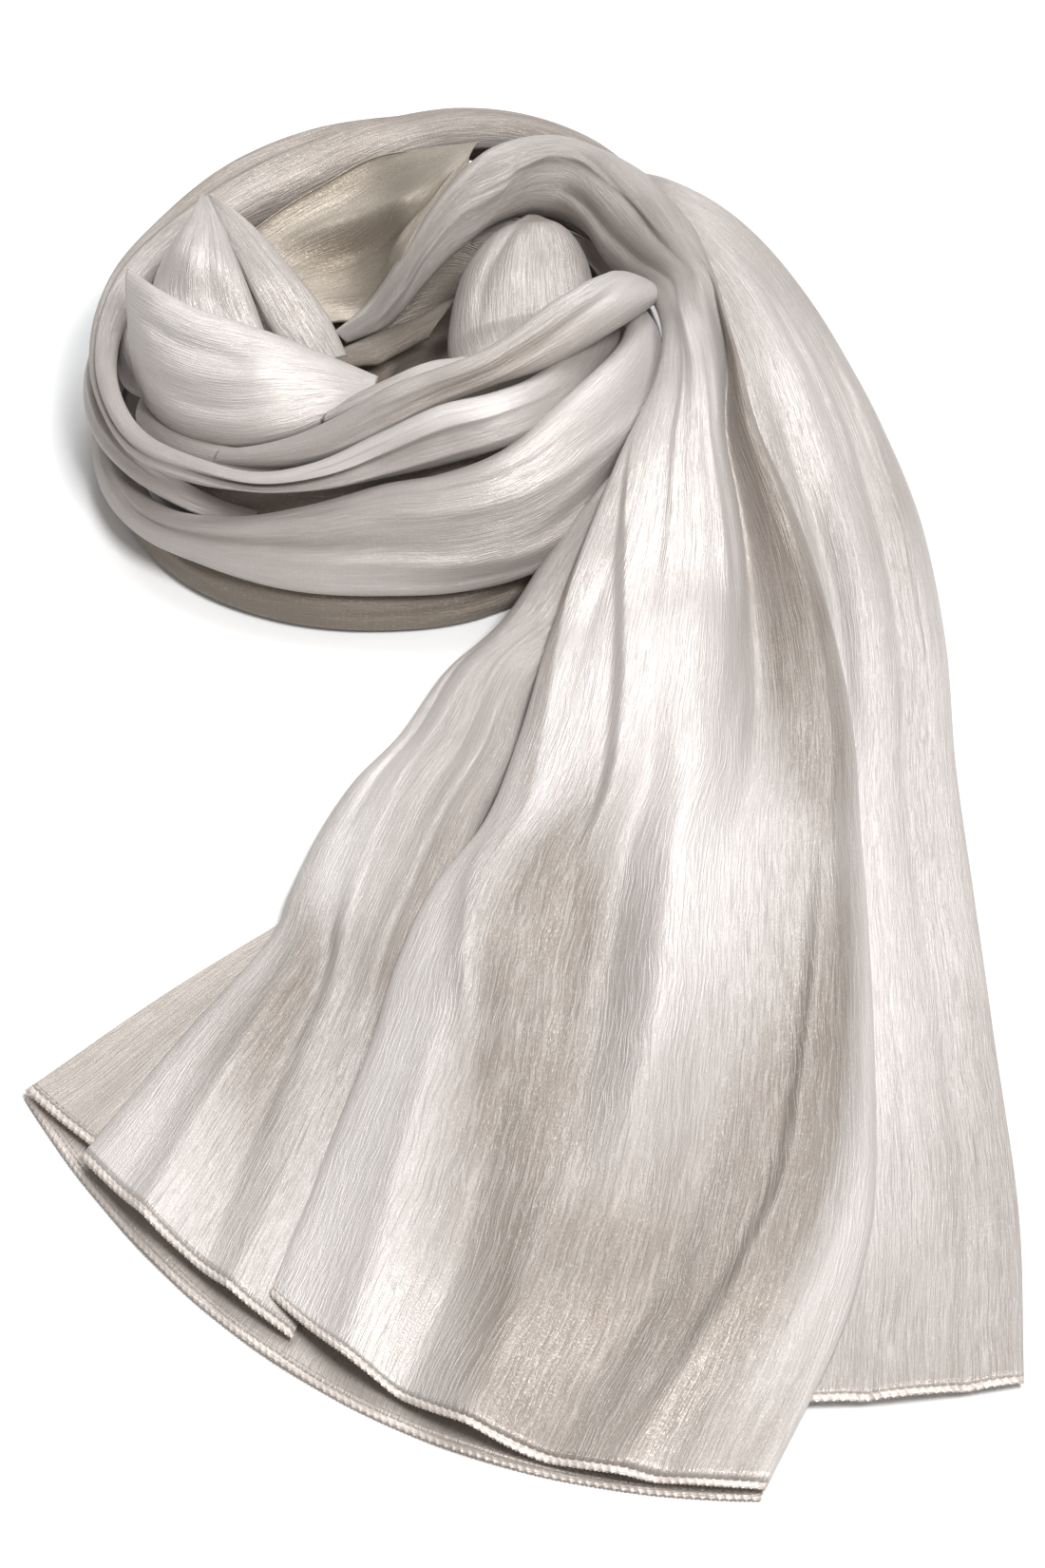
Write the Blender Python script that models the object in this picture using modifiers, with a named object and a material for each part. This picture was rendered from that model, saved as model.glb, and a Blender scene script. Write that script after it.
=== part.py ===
"""Evening stole in crinkled organza, wound into a loose nest with one end fanned out.

Frame: +Z up, metres.  The stole lies on Z = 0, its fanned end towards -Y, the nest towards +Y.
Every stretch of cloth that shows is a ribbon: a table has one row for each station along it, giving the places
of its two edges and how far it crowns between them.  A smooth curve through the rows carries the section.
"""
import bmesh
import bpy
import numpy as np
from mathutils.bvhtree import BVHTree

# ---- driving dimensions ----------------------------------------------------------------------------------
MM = 0.001
CLOTH = 1.5                   # wall that stands for the gathered cloth, mm
SEAM_GAP = 0.3                # least space between a sheet and the one over it, mm
HEM_GAP = 0.6                 # from a sheet's edge to its hem along the cloth, mm: more than the seam, as the edge is skewed
HEM_WIDTH = 4.4               # mm
HEM_THICK = 2.4               # mm
CENTRE = (-63.0, 245.0)       # middle of the nest, mm
PLACE = (4.0, -32.0)          # brings the middle of the whole to the origin, mm
SQUARENESS = 2.3              # section of a ribbon: 2 is an ellipse, more is flatter
HEM_SIDES = 8
CORE_SIDES = 36
PIT_DIP = 4.0                 # the pit's floor below its edge, mm
SHOULDER = 0.6                # height of the nest's shoulder, share of the way from belly to rim
BANK = 0.45                   # height of the bank inside the nest, share of the way from pit to rim
HALF = 0.5
TUCK = 2.2                    # a lower sheet's face below the face that lies over it: wall and gap, mm
TUCK_REACH = 14.0             # how far apart two sheets can be and still settle against each other, mm
TUCK_ROUNDS = 12              # times that a crossing sheet is pressed down further
TUCK_STEP = 0.5               # mm
EDGE_REACH = 11.0             # how far past an edge the sheet below stays down, mm
ON_LAYER = 3.6                # outer face of a sheet that lies on the under layer, mm
LIES_ON_UNDER = ("tail_main", "tail_right", "tail_left", "tail_corner")
UP = np.array([0.0, 0.0, 1.0])

# Columns: on a turn of the nest, degrees round its middle, then reach from the middle and height of each edge;
# on a sheet, the places of its two edges.  All in mm.  The crown is how far the cloth stands out between the
# edges, and the bow is how far a section curves along the sheet.
TURN = ("angle", "low_reach", "low_z", "top_reach", "top_z", "crown")
SHEET = ("left_x", "left_y", "left_z", "right_x", "right_y", "right_z", "crown", "bow")

# ---- turns of the nest -----------------------------------------------------------------------------------
BASE_TURN = (
    (-330, 118, 1, 112, 12, 4),
    (-300, 122, 1, 116, 12, 5),
    (-268, 122, 1, 115, 12, 5),
    (-236, 120, 1, 113, 12, 5),
    (-204, 122, 1, 114, 12, 5),
    (-172, 126, 1, 118, 12, 5),
    (-150, 133, 1, 124, 16, 6),
    (-130, 135, 1, 126, 18, 6),
    (-110, 133, 1, 124, 18, 6),
    (-90, 131, 1, 122, 18, 6),
    (-70, 131, 1, 122, 18, 6),
    (-50, 126, 1, 117, 18, 6),
    (-30, 116, 1, 108, 16, 4),
)
WIDE_TURN = (
    (-192, 128, 8, 122, 20, 6),
    (-172, 133, 9, 127, 22, 6),
    (-155, 137, 10, 130, 26, 7),
    (-140, 137, 15, 130, 31, 8),
    (-126, 133, 18, 120, 38, 9),
    (-108, 131, 20, 106, 49, 9),
    (-90, 129, 21, 99, 60, 10),
    (-75, 131, 21, 103, 67, 11),
    (-60, 133, 21, 108, 75, 12),
    (-45, 132, 23, 108, 82, 13),
    (-30, 129, 25, 110, 84, 13),
    (-13, 126, 27, 112, 80, 10),
    (-4, 121, 30, 110, 78, 7),
    (3, 114, 34, 107, 72, 4),
)
OUTER_TURN = (
    (12, 126, 14, 122, 37, 4),
    (36, 128, 14, 123, 42, 5),
    (62, 134, 14, 128, 40, 6),
    (92, 131, 14, 122, 36, 6),
    (122, 127, 14, 119, 34, 6),
    (150, 126, 14, 118, 34, 5),
    (166, 133, 22, 124, 40, 6),
    (182, 137, 31, 126, 43, 5),
    (196, 138, 34, 126, 43, 4),
    (208, 135, 36, 124, 43, 4),
    (220, 129, 36, 118, 42, 3),
    (230, 117, 34, 107, 37, 3),
    (238, 107, 31, 99, 33, 2),
)
UPPER_TURN = (
    (42, 149, 46, 134, 79, 12),
    (60, 150, 46, 133, 76, 13),
    (75, 148, 46, 125, 73, 14),
    (90, 144, 45, 114, 68, 14),
    (108, 139, 47, 101, 63, 16),
    (126, 136, 46, 100, 58, 16),
    (145, 133, 44, 106, 57, 12),
    (162, 134, 44, 114, 58, 9),
    (180, 133, 46, 121, 60, 6),
    (198, 132, 50, 126, 61, 5),
    (212, 130, 49, 125, 60, 5),
    (226, 121, 50, 115, 60, 5),
    (240, 110, 53, 107, 61, 5),
    (254, 101, 56, 97, 68, 6),
    (270, 92, 58, 86, 78, 7),
    (288, 93, 63, 82, 87, 9),
    (305, 100, 68, 87, 89, 11),
    (322, 102, 66, 94, 81, 7),
    (338, 102, 62, 96, 74, 5),
)
INNER_ROLL = (
    (-134, 106, 50, 102, 57, 4),
    (-120, 98, 56, 89, 66, 5),
    (-105, 88, 62, 77, 77, 6),
    (-88, 80, 72, 67, 88, 6),
    (-70, 76, 80, 65, 93, 6),
    (-52, 80, 85, 69, 97, 7),
    (-34, 92, 87, 72, 98, 8),
    (-20, 100, 88, 76, 99, 9),
    (-9, 104, 86, 81, 98, 7),
    (-2, 104, 83, 86, 95, 5),
    (2, 101, 80, 91, 90, 3),
)
RIM_FOLD = (
    (-110, 73, 68, 68, 70, 2),
    (-98, 66, 74, 57, 75, 3),
    (-80, 60, 80, 51, 80, 3),
    (-64, 59, 84, 50, 81, 3),
    (-50, 62, 86, 56, 82, 2),
)
SMALL_ROLL = (
    (-166, 112, 40, 108, 48, 3),
    (-156, 118, 42, 111, 53, 5),
    (-142, 113, 44, 105, 55, 5),
    (-130, 104, 48, 97, 58, 5),
    (-118, 94, 52, 89, 60, 4),
)
SIDE_ROLL = (
    (168, 114, 44, 110, 56, 4),
    (180, 120, 42, 114, 57, 5),
    (190, 118, 42, 110, 54, 5),
    (198, 106, 45, 99, 52, 3),
)
BACK_DRAPE = (
    (142, 44, 36, 96, 51, -2),
    (126, 40, 34, 96, 56, -4),
    (108, 35, 34, 98, 64, -5),
    (94, 36, 41, 104, 71, -4),
    (82, 48, 56, 107, 75, 2),
    (73, 70, 70, 109, 79, 3),
    (67, 98, 81, 110, 83, 2),
)
PIT_CLOTH = (
    (160, 20, 27, 30, 28, 2),
    (110, 12, 27, 30, 27, 3),
    (70, 18, 29, 36, 34, 3),
    (48, 30, 33, 52, 44, 3),
)
HOOD = (
    (62, 83, 45, 89, 56, -1),
    (54, 92, 47, 96, 57, -1),
    (46, 102, 49, 104, 57, -1),
    (36, 108, 49, 111, 57, -1),
    (26, 110, 48, 115, 57, -1),
    (17, 107, 45, 113, 55, -1),
    (5, 106, 45, 111, 56, -1),
    (-8, 103, 46, 108, 57, -1),
)

# ---- sheets: rows run from the nest outwards, left edge first --------------------------------------------
PEAK_B = (
    (-172, 208, 57, -178, 258, 85, 5, 0),
    (-163, 192, 55, -164, 245, 85, 8, 0),
    (-148, 180, 55, -146, 234, 83, 9, 0),
    (-126, 173, 57, -127, 228, 80, 10, 0),
    (-105, 174, 60, -111, 223, 77, 10, 0),
    (-86, 181, 63, -91, 217, 71, 8, 0),
    (-70, 190, 61, -65, 211, 62, 5, 0),
)
PEAK_A = (
    (-110, 226, 52, -168, 244, 64, 9, 0),
    (-117, 241, 62, -168, 260, 73, 9, 0),
    (-126, 258, 79, -161, 271, 85, 8, 0),
    (-135, 276, 91, -152, 281, 94, 5, 0),
    (-143, 290, 100, -146, 291, 100, 1, 0),
)
PEAK_STRIP = (
    (-144, 293, 98, -142, 293, 99, 0.5, 0),
    (-133, 274, 84, -124, 285, 88, 2, 0),
    (-123, 256, 72, -104, 268, 74, 4, 0),
    (-113, 243, 58, -89, 254, 60, 4, 0),
    (-100, 234, 46, -80, 242, 46, 4, 0),
)
DOME = (
    (36, 236, 54, -30, 220, 50, 12, 0),
    (35, 260, 52, -34, 242, 46, 16, 0),
    (33, 280, 53, -33, 264, 47, 18, 0),
    (30, 295, 55, -29, 285, 50, 16, 0),
    (25, 306, 58, -22, 300, 54, 13, 0),
    (18, 313, 61, -12, 311, 58, 9, 0),
    (9, 317, 63, 2, 318, 63, 3, 0),
)
ARCH = (
    (-82, 268, 29, -88, 273, 31, 3, 0),
    (-66, 276, 30, -72, 284, 40, 5, 0),
    (-56, 282, 36, -57, 298, 56, 7, 0),
    (-45, 290, 46, -40, 318, 73, 8, 0),
    (-33, 300, 54, -21, 336, 83, 10, 0),
    (-19, 314, 57, -2, 348, 84, 13, 0),
    (-2, 322, 59, 17, 352, 82, 16, 0),
    (16, 322, 58, 35, 346, 80, 18, 0),
    (33, 311, 55, 52, 331, 82, 20, 0),
    (44, 290, 53, 68, 306, 85, 19, 0),
    (54, 267, 60, 77, 276, 91, 15, 0),
    (60, 246, 76, 85, 249, 93, 9, 0),
)
TAIL_MAIN = (
    (60, 242, 76, 86, 245, 93, 9, 0),
    (63, 217, 79, 90, 224, 92, 9, 0),
    (58, 192, 77, 96, 201, 85, 8, 0),
    (43, 160, 66, 104, 178, 65, 8, 0),
    (31, 135, 50, 118, 154, 45, 8, 0),
    (20, 113, 33, 130, 126, 28, 8, 0),
    (10, 86, 20, 137, 95, 18, 9, 0),
    (-2, 40, 12, 142, 62, 12, 12, 0),
    (-16, -4, 10, 144, 24, 10, 13, 0),
    (-38, -42, 11, 144, -14, 9, 14, 0),
    (-52, -82, 12, 144, -62, 9, 15, 2),
    (-62, -124, 12, 143, -122, 9, 15, 4),
    (-78, -172, 9, 140, -186, 8, 13, 8),
    (-86, -198, 8, 134, -222, 8, 11, 12),
    (-92, -218, 8, 121, -262, 7.5, 8, 18),
    (-98, -237, 7.5, 92, -322, 7, 5, 24),
)
TAIL_RIGHT = (
    (60, 298, 76, 53, 334, 76, 4, 0),
    (72, 268, 80, 68, 321, 82, 5, 0),
    (82, 240, 80, 88, 309, 78, 8, 0),
    (90, 214, 70, 108, 293, 70, 10, 0),
    (98, 186, 54, 128, 273, 56, 11, 0),
    (106, 160, 36, 146, 249, 40, 12, 0),
    (116, 128, 18, 164, 215, 26, 11, 0),
    (122, 92, 9, 180, 166, 14, 9, 0),
    (122, 40, 5, 187, 100, 8, 8, 0),
    (116, -20, 5, 187, 30, 5, 7, 0),
    (112, -80, 4, 190, -45, 4.5, 6, 0),
    (110, -150, 4, 193, -120, 4, 6, 0),
    (106, -220, 4, 196, -200, 4, 5, 0),
    (96, -284, 4, 192, -275, 4, 3, 3),
)
TAIL_LEFT = (
    (46, 158, 64, 62, 170, 62, 3, 0),
    (31, 147, 52, 54, 154, 50, 5, 0),
    (12, 131, 34, 46, 136, 35, 7, 0),
    (-5, 112, 17, 38, 120, 19, 10, 0),
    (-20, 98, 8, 30, 102, 10, 12, 0),
    (-36, 80, 5, 8, 74, 6, 12, 0),
    (-54, 46, 5, -4, 32, 5, 12, 0),
    (-73, 20, 5, -16, -2, 5, 12, 0),
    (-87, -8, 5, -28, -40, 4, 11, 0),
    (-98, -40, 6, -42, -82, 4, 9, 0),
    (-106, -66, 6, -53, -126, 4, 8, 0),
    (-138, -114, 7, -68, -190, 5, 7, 2),
    (-175, -173, 7.5, -88, -256, 5, 3, 4),
)
TAIL_CORNER = (
    (-99, -52, 4, -86, -92, 4, 0.5, 0),
    (-148, -92, 4.5, -110, -140, 4, 0.5, 0),
    (-199, -139, 5.4, -134, -192, 4.6, 0.3, 3),
)
TAIL_UNDER = (
    (-80, -20, 1.5, 118, -60, 1.5, 0, 0),
    (-106, -58, 1.5, 116, -130, 1.5, 0, 6),
    (-163, -103, 1.5, 104, -240, 1.5, 0, 28),
    (-200, -139, 1.5, 90, -324, 1.5, 0, 50),
)

# ---- pleats and large folds: place across (0 to 1) at each end, where it runs, height mm, width (share) --
FOLD = ("from_across", "to_across", "start", "end", "height", "width")
FOLDS = {
    "tail_main": (
        (0.10, 0.16, 0.20, 0.75, -3.5, 0.05),
        (0.30, 0.34, 0.10, 1.00, 5.0, 0.09),
        (0.50, 0.47, 0.25, 0.95, -4.0, 0.07),
        (0.60, 0.66, 0.10, 0.90, 4.0, 0.08),
        (0.80, 0.82, 0.15, 0.95, -6.0, 0.08),
    ),
    "tail_right": (
        (0.35, 0.40, 0.15, 0.95, -3.0, 0.10),
        (0.65, 0.62, 0.25, 0.90, 2.5, 0.12),
    ),
    "tail_left": (
        (0.45, 0.35, 0.25, 0.95, -4.0, 0.12),
        (0.75, 0.72, 0.35, 0.90, 2.0, 0.10),
    ),
    "wide_turn": (
        (0.35, 0.30, 0.15, 0.80, -1.5, 0.12),
        (0.70, 0.62, 0.25, 0.75, 1.2, 0.10),
    ),
    "upper_turn": (
        (0.55, 0.50, 0.55, 0.98, -1.8, 0.12),
        (0.50, 0.45, 0.05, 0.40, -1.5, 0.12),
    ),
    "dome": ((0.30, 0.40, 0.10, 0.80, -1.5, 0.10),),
    "peak_b": ((0.35, 0.40, 0.10, 0.70, 1.5, 0.12),),
}

# ---- the hidden layers inside the nest ------------------------------------------------------------------
CORE = ("angle", "foot_reach", "belly_reach", "belly_z", "rim_reach", "rim_z", "pit_reach", "pit_z")
CORE_RINGS = (
    (-180, 108, 112, 20, 104, 34, 50, 24),
    (-150, 112, 114, 20, 98, 38, 50, 26),
    (-120, 112, 112, 22, 84, 46, 46, 30),
    (-90, 110, 112, 26, 72, 56, 40, 28),
    (-60, 108, 110, 30, 70, 66, 34, 28),
    (-30, 104, 108, 34, 84, 54, 26, 26),
    (0, 104, 108, 32, 92, 40, 30, 26),
    (30, 104, 110, 30, 102, 38, 40, 28),
    (60, 107, 116, 30, 110, 44, 44, 26),
    (90, 107, 114, 28, 100, 46, 30, 20),
    (120, 105, 112, 26, 92, 40, 26, 20),
    (150, 105, 110, 22, 96, 36, 40, 20),
)

LINEN = {
    "lit": (0.74, 0.70, 0.67, 1.0),
    "shade": (0.62, 0.58, 0.54, 1.0),
    "hem": (0.70, 0.66, 0.62, 1.0),
}

# ---- every stretch, from the top of the heap down -------------------------------------------------------
# Columns: name, kind of table, table, grid (along, across), tone, and the stretches that lie over it.
STRETCHES = (
    ("arch", "sheet", ARCH, (16, 8), "lit", ()),
    ("tail_main", "sheet", TAIL_MAIN, (23, 15), "lit", ()),
    ("tail_right", "sheet", TAIL_RIGHT, (20, 12), "lit", ("arch", "tail_main")),
    ("tail_left", "sheet", TAIL_LEFT, (19, 11), "lit", ("tail_main",)),
    ("tail_corner", "sheet", TAIL_CORNER, (5, 5), "shade", ("tail_left",)),
    ("tail_under", "sheet", TAIL_UNDER, (8, 9), "shade", ()),
    ("outer_turn", "turn", OUTER_TURN, (22, 5), "shade", ("arch",)),
    ("wide_turn", "turn", WIDE_TURN, (27, 8), "lit", ("arch", "tail_main", "tail_left", "outer_turn")),
    ("upper_turn", "turn", UPPER_TURN, (32, 7), "lit",
     ("arch", "tail_main", "tail_right", "wide_turn")),
    ("inner_roll", "turn", INNER_ROLL, (18, 6), "lit", ("arch", "tail_main", "upper_turn")),
    ("rim_fold", "turn", RIM_FOLD, (8, 4), "shade", ("inner_roll",)),
    ("peak_b", "sheet", PEAK_B, (11, 8), "lit", ("rim_fold", "inner_roll", "upper_turn")),
    ("peak_a", "sheet", PEAK_A, (8, 6), "lit", ()),
    ("peak_strip", "sheet", PEAK_STRIP, (8, 5), "lit", ()),
    ("small_roll", "turn", SMALL_ROLL, (9, 5), "shade", ("inner_roll", "upper_turn", "peak_b")),
    ("side_roll", "turn", SIDE_ROLL, (7, 5), "shade", ("small_roll", "peak_b", "upper_turn")),
    ("base_turn", "turn", BASE_TURN, (22, 5), "shade", ("wide_turn", "tail_left", "outer_turn")),
    ("dome", "sheet", DOME, (10, 8), "lit", ("inner_roll",)),
    ("back_drape", "turn", BACK_DRAPE, (11, 7), "shade", ("arch", "upper_turn")),
    ("hood", "turn", HOOD, (12, 4), "shade", ("arch", "inner_roll", "wide_turn")),
    ("pit_cloth", "turn", PIT_CLOTH, (8, 4), "shade", ("dome",)),
)

# ---- working out the surfaces ---------------------------------------------------------------------------
def column(rows, names, wanted):
    """The named columns of a table, as an array of rows."""
    picks = [names.index(name) for name in wanted]
    return np.array([[row[pick] for pick in picks] for row in rows], float)


def through(values, stations):
    """Catmull-Rom curve through the rows of values, read at evenly spread stations."""
    last = len(values) - 1
    padded = np.vstack([2 * values[0] - values[1], values, 2 * values[-1] - values[-2]])
    place = np.clip(stations, 0, 1) * last
    cell = np.minimum(place.astype(int), last - 1)
    t = (place - cell)[:, None]
    before, here, after, beyond = (padded[cell + step] for step in range(4))
    return 0.5 * (2 * here + (after - before) * t
                  + (2 * before - 5 * here + 4 * after - beyond) * t ** 2
                  + (3 * here - before - 3 * after + beyond) * t ** 3)


def turn_edges(rows, stations):
    """Low edge, top edge and crown of a turn, from its angles and reaches."""
    read = through(column(rows, TURN, TURN), stations)
    angle = np.radians(read[:, 0])
    round_it = np.stack([np.cos(angle), np.sin(angle)], axis=1)
    low = np.column_stack([CENTRE + read[:, 1:2] * round_it, read[:, 2]])
    top = np.column_stack([CENTRE + read[:, 3:4] * round_it, read[:, 4]])
    return low, top, read[:, 5], np.zeros(len(stations))


def sheet_edges(rows, stations):
    """Left edge, right edge, crown and bow of a sheet."""
    read = through(column(rows, SHEET, SHEET), stations)
    return read[:, 0:3], read[:, 3:6], read[:, 6], read[:, 7]


def unit(vectors):
    """Vectors scaled to length one."""
    return vectors / np.maximum(np.linalg.norm(vectors, axis=-1, keepdims=True), 1e-9)


def eased(x):
    """Smooth step from 0 to 1."""
    x = np.clip(x, 0, 1)
    return x * x * (3 - 2 * x)


def fold_height(folds, along, across):
    """Sum of soft ridges and troughs: a bell across the cloth, eased in and out along it."""
    total = np.zeros(np.broadcast(along, across).shape)
    for row in folds:
        fold = dict(zip(FOLD, row))
        run = np.clip((along - fold["start"]) / (fold["end"] - fold["start"]), 0, 1)
        middle = fold["from_across"] + (fold["to_across"] - fold["from_across"]) * run
        bell = np.exp(-((across - middle) / fold["width"]) ** 2)
        total = total + fold["height"] * bell * eased(4 * run) * eased(4 * (1 - run))
    return total


def ribbon(edges, folds, along_count, across_count):
    """Grid of points: the section between the two edges is half a flattened ellipse as high as the crown."""
    stations = np.linspace(0, 1, along_count)
    low, top, crown, bow = edges(stations)
    ahead = unit(np.gradient(0.5 * (low + top), axis=0))
    chord = top - low
    outward = unit(np.cross(ahead, chord))
    sweep = np.linspace(0, np.pi, across_count)
    power = 2 / SQUARENESS
    share = 0.5 * (1 - np.sign(np.cos(sweep)) * np.abs(np.cos(sweep)) ** power)
    rise = np.sin(sweep) ** power
    points = low[:, None] + share[None, :, None] * chord[:, None]
    lift = crown[:, None] * rise + fold_height(folds, stations[:, None], share[None, :]) * np.sin(sweep)
    points = points + lift[..., None] * outward[:, None]
    return points + (bow[:, None] * 4 * share * (1 - share))[..., None] * ahead[:, None]


# ---- building ------------------------------------------------------------------------------------------
def finish(name, tone):
    """Satin material in one of the cloth's tones."""
    material = bpy.data.materials.new(name)
    material.use_nodes = True
    shader = material.node_tree.nodes["Principled BSDF"]
    shader.inputs["Base Color"].default_value = LINEN[tone]
    shader.inputs["Roughness"].default_value = 0.42
    shader.inputs["Metallic"].default_value = 0.25
    return material


def new_object(name, points, faces, tone, home):
    """Mesh object in metres, moved to its place."""
    mesh = bpy.data.meshes.new(name)
    shift = np.array([PLACE[0], PLACE[1], 0.0])
    mesh.from_pydata(((points.reshape(-1, 3) + shift) * MM).tolist(), [], faces)
    item = bpy.data.objects.new(name, mesh)
    home.objects.link(item)
    mesh.materials.append(finish(name + "_cloth", tone))
    mesh.shade_smooth()
    return item


def grid_faces(rows, across, closed=False):
    """Quads between neighbouring rows of a grid; a closed grid joins its last column to its first."""
    row, step = np.meshgrid(np.arange(rows - 1), np.arange(across if closed else across - 1), indexing="ij")
    after = (step + 1) % across
    quads = np.stack([row * across + step, (row + 1) * across + step,
                      (row + 1) * across + after, row * across + after], axis=-1)
    return quads.reshape(-1, 4).tolist()


def padded(points):
    """Grid carried on past all four edges, so that what comes out from under an edge stays below it."""
    across = unit(points[:, -1:] - points[:, :1]) * EDGE_REACH
    wide = np.concatenate([points[:, :1] - across, points, points[:, -1:] + across], axis=1)
    start = unit(wide[:1] - wide[1:2]) * EDGE_REACH
    end = unit(wide[-1:] - wide[-2:-1]) * EDGE_REACH
    return np.concatenate([wide[:1] + start, wide, wide[-1:] + end], axis=0)


def search_tree(grid):
    """Tree for finding the nearest place on a grid's surface, or the faces that cross it."""
    return BVHTree.FromPolygons(grid.reshape(-1, 3).tolist(), grid_faces(*grid.shape[:2]))


def cover(points):
    """Trees of a sheet's padded outer face, and of its inner face lowered by the gap."""
    wide = padded(points)
    outward = unit(np.cross(np.gradient(wide, axis=0), np.gradient(wide, axis=1)))
    return search_tree(wide), search_tree(wide - (CLOTH + SEAM_GAP) * outward)


def pressed(flat, need, tree):
    """Points moved so that each is as far inside the covering face as it needs to be."""
    for step, point in enumerate(flat):
        found, normal, _, _ = tree.find_nearest(point.tolist(), TUCK_REACH)
        if found is None:
            continue
        normal = np.array(normal)
        away = point - np.array(found)
        depth = float(away @ normal)
        if np.linalg.norm(away - depth * normal) < CLOTH and depth > -need[step]:
            flat[step] = point - (depth + need[step]) * normal


def tucked(points, covers, lowest):
    """A lower sheet's points, pressed below every sheet over them until no face of it crosses theirs."""
    flat = points.reshape(-1, 3).copy()
    faces = np.array(grid_faces(*points.shape[:2]))
    need = np.full(len(flat), TUCK)
    for _ in range(TUCK_ROUNDS):
        for outer, _ in covers:
            pressed(flat, need, outer)
        flat[:, 2] = np.maximum(flat[:, 2], lowest)
        lower = search_tree(flat.reshape(points.shape))
        crossing = {pair[0] for _, inner in covers for pair in lower.overlap(inner)}
        if not crossing:
            break
        need[np.unique(faces[sorted(crossing)])] += TUCK_STEP
    return flat.reshape(points.shape)


def cloth_wall(name, points, tone, home):
    """Open surface, thickened inwards to the cloth's wall."""
    item = new_object(name, points, grid_faces(*points.shape[:2]), tone, home)
    wall = item.modifiers.new("wall", "SOLIDIFY")
    wall.thickness = CLOTH * MM
    wall.offset = -1.0


def closed_object(name, rings, tone, home):
    """Closed body through rings of points, each end closed by one face."""
    count, around = rings.shape[:2]
    faces = grid_faces(count, around, closed=True)
    faces.append(list(range(around))[::-1])
    faces.append(list(range((count - 1) * around, count * around)))
    item = new_object(name, rings, faces, tone, home)
    body = bmesh.new()
    body.from_mesh(item.data)
    bmesh.ops.recalc_face_normals(body, faces=body.faces)
    body.to_mesh(item.data)
    body.free()


def hem_roll(name, points, foot, home):
    """Flattened tube along a sheet's last row, set out from it by the hem's gap and no lower than its foot."""
    rim = points[-1]
    out = rim - points[-2]
    out[:, 2] = 0
    out = unit(out)
    path = rim + (HEM_GAP + 0.5 * HEM_WIDTH) * out
    path[:, 2] = np.maximum(path[:, 2] - 0.5 * CLOTH, foot + 0.5 * HEM_THICK)
    turn = np.linspace(0, 2 * np.pi, HEM_SIDES, endpoint=False)[None, :, None]
    section = 0.5 * HEM_WIDTH * np.cos(turn) * out[:, None] + 0.5 * HEM_THICK * np.sin(turn) * UP
    closed_object(name, path[:, None] + section, "hem", home)


def core(home, covers):
    """Rounded nest of hidden layers: rings from the flat foot over belly and rim down into the pit."""
    table = column(CORE_RINGS, CORE, CORE)
    turns = np.vstack([table, table[:1]])
    read = through(turns, np.arange(CORE_SIDES) / CORE_SIDES)
    angle = 2 * np.pi * np.arange(CORE_SIDES) / CORE_SIDES - np.pi
    _, foot, belly, belly_z, rim, rim_z, pit, pit_z = read.T
    profile = ((foot, 0 * foot), (belly, belly_z),
               (HALF * (belly + rim), belly_z + SHOULDER * (rim_z - belly_z)), (rim, rim_z),
               (HALF * (rim + pit), pit_z + BANK * (rim_z - pit_z)), (pit, pit_z),
               (HALF * pit, pit_z - PIT_DIP))
    rings = np.stack([np.column_stack([CENTRE[0] + reach * np.cos(angle), CENTRE[1] + reach * np.sin(angle),
                                       height]) for reach, height in profile])
    rings[1:] = tucked(rings[1:], covers, CLOTH)
    closed_object("coil_core", rings, "shade", home)


def build():
    """Clears the scene and makes every stretch from the top down, then the hems and the hidden core."""
    for item in list(bpy.data.objects):
        bpy.data.objects.remove(item)
    home = bpy.data.collections.new("evening_stole")
    bpy.context.scene.collection.children.link(home)
    covers = {}
    for name, kind, rows, counts, tone, above in STRETCHES:
        edges = turn_edges if kind == "turn" else sheet_edges
        points = ribbon(lambda stations: edges(rows, stations), FOLDS.get(name, ()), *counts)
        lowest = ON_LAYER if name in LIES_ON_UNDER else CLOTH
        points = tucked(points, [covers[other] for other in above], lowest)
        covers[name] = cover(points)
        cloth_wall(name, points, tone, home)
        if name.startswith("tail_"):
            hem_roll("hem_" + name[len("tail_"):], points, lowest - CLOTH, home)
    core(home, [covers[name] for name in covers if not name.startswith("tail_")])


build()
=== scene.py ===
"""Evening stole in crinkled organza, wound into a loose nest with one end fanned out: the finished cloth.

Every stretch of cloth is a surface worked out from a short table.  A table has one row for each station along
the stretch, giving the places of its two edges and how far the cloth crowns between them.  A smooth curve
through the rows carries the section, folds are soft ridges and troughs laid over it, and the crinkle of the
weave is in the cloth's material, which follows each stretch along its own length.
"""

import bpy
import numpy as np
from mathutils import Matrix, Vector


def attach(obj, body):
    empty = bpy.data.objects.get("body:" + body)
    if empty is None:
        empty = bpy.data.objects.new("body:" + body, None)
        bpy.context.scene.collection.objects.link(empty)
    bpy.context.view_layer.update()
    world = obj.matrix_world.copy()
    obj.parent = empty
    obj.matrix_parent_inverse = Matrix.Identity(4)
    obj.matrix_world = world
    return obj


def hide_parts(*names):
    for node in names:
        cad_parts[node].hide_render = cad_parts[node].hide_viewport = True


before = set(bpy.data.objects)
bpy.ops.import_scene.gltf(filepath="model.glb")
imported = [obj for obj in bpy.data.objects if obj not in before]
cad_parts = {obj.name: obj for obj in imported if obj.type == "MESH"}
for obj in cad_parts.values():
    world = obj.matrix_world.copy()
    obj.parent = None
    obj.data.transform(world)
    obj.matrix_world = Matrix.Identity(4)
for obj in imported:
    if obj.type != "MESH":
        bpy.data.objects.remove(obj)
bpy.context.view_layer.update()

# ---- sizes ---------------------------------------------------------------------------------------------
MM = 0.001
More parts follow.
